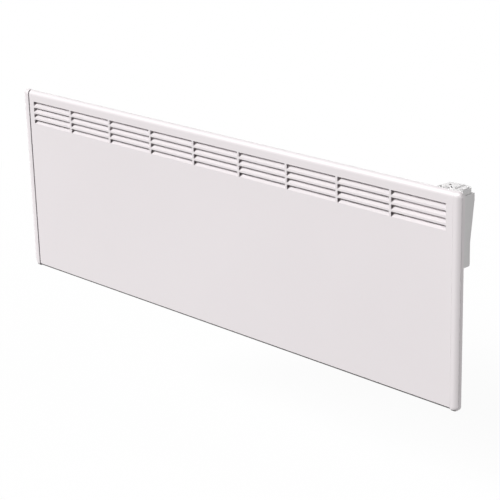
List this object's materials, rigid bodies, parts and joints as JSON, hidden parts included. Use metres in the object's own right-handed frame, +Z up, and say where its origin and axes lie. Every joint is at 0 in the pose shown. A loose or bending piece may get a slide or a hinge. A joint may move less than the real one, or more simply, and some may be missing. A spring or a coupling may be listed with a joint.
{
  "type": "wall panel convector heater",
  "caption": "Flat white wall convector heater: louvred steel front, end trims, rear casing with finned element, side control box and tilting wall bracket.",
  "frame": {"origin": "on the wall plane, in the middle of the back face of the wall bracket's crossbar, at the panel's mid height", "axes": "+X to the right of someone facing the heater, +Y into the wall, +Z up"},
  "size_m": [1.195, 0.085, 0.4],
  "materials": {
    "painted_steel": "white powder coat, satin",
    "white_plastic": "white moulded plastic, fine texture",
    "zinc_steel": "zinc-plated steel",
    "aluminium_fins": "extruded aluminium, matt",
    "ceramic": "unglazed cream ceramic",
    "black_plastic": "black moulded plastic",
    "amber_lens": "amber transparent lens",
    "board_laminate": "green circuit board laminate",
    "rubber": "black rubber",
    "brown_wire": "brown silicone insulation",
    "blue_wire": "blue silicone insulation",
    "earth_wire": "green and yellow insulation"
  },
  "bodies": {
    "bracket": {"bracket_crossbar": "painted_steel", "wall_upright_left": "painted_steel", "wall_upright_right": "painted_steel", "snap_clip_left": "zinc_steel", "snap_clip_right": "zinc_steel", "bracket_rivet_left_1": "zinc_steel", "bracket_rivet_left_2": "zinc_steel", "bracket_rivet_right_1": "zinc_steel", "bracket_rivet_right_2": "zinc_steel"},
    "heater": {"front_panel": "painted_steel", "end_trim_left": "painted_steel", "end_trim_right": "painted_steel", "rear_casing": "painted_steel", "tray_screw_1": "zinc_steel", "tray_screw_2": "zinc_steel", "tray_screw_3": "zinc_steel", "tray_screw_4": "zinc_steel", "tray_screw_5": "zinc_steel", "tray_screw_6": "zinc_steel", "trim_screw_1": "zinc_steel", "trim_screw_2": "zinc_steel", "trim_screw_3": "zinc_steel", "trim_screw_4": "zinc_steel", "box_screw_1": "zinc_steel", "box_screw_2": "zinc_steel", "control_box": "white_plastic", "control_lid": "white_plastic", "thermostat_body": "black_plastic", "switch_body": "black_plastic", "indicator_lens": "amber_lens", "circuit_board": "board_laminate", "room_sensor": "black_plastic", "terminal_block": "ceramic", "cable_gland": "black_plastic", "heating_element": "aluminium_fins", "element_support_middle": "zinc_steel", "element_support_left": "zinc_steel", "element_support_right": "zinc_steel", "element_insulator_left": "ceramic", "element_insulator_right": "ceramic", "element_stud_left": "zinc_steel", "element_stud_right": "zinc_steel", "thermal_cutout": "black_plastic", "cutout_bracket": "zinc_steel", "wire_sleeve": "rubber", "lead_live": "brown_wire", "lead_element": "brown_wire", "lead_neutral": "blue_wire", "lead_earth": "earth_wire", "pivot_bracket_left": "zinc_steel", "pivot_bracket_right": "zinc_steel", "pivot_pin_left": "zinc_steel", "pivot_pin_right": "zinc_steel", "catch_tongue_left": "zinc_steel", "catch_tongue_right": "zinc_steel"},
    "dial": {"thermostat_dial": "white_plastic", "dial_spindle": "zinc_steel"},
    "rocker": {"rocker_switch": "white_plastic"}
  },
  "joints": [
    {"name": "heater_tilt", "type": "hinge", "parent": "bracket", "child": "heater", "pos_m": [0, -0.02605, -0.15], "axis": [1, 0, 0], "range_deg": [0, 15]},
    {"name": "thermostat_turn", "type": "hinge", "parent": "heater", "child": "dial", "pos_m": [0.5635, -0.047, 0.19], "axis": [0, 0, 1], "range_deg": [-135, 135]},
    {"name": "power_rock", "type": "hinge", "parent": "heater", "child": "rocker", "pos_m": [0.5405, -0.063, 0.1945], "axis": [0, 1, 0], "range_deg": [0, 24]}
  ]
}
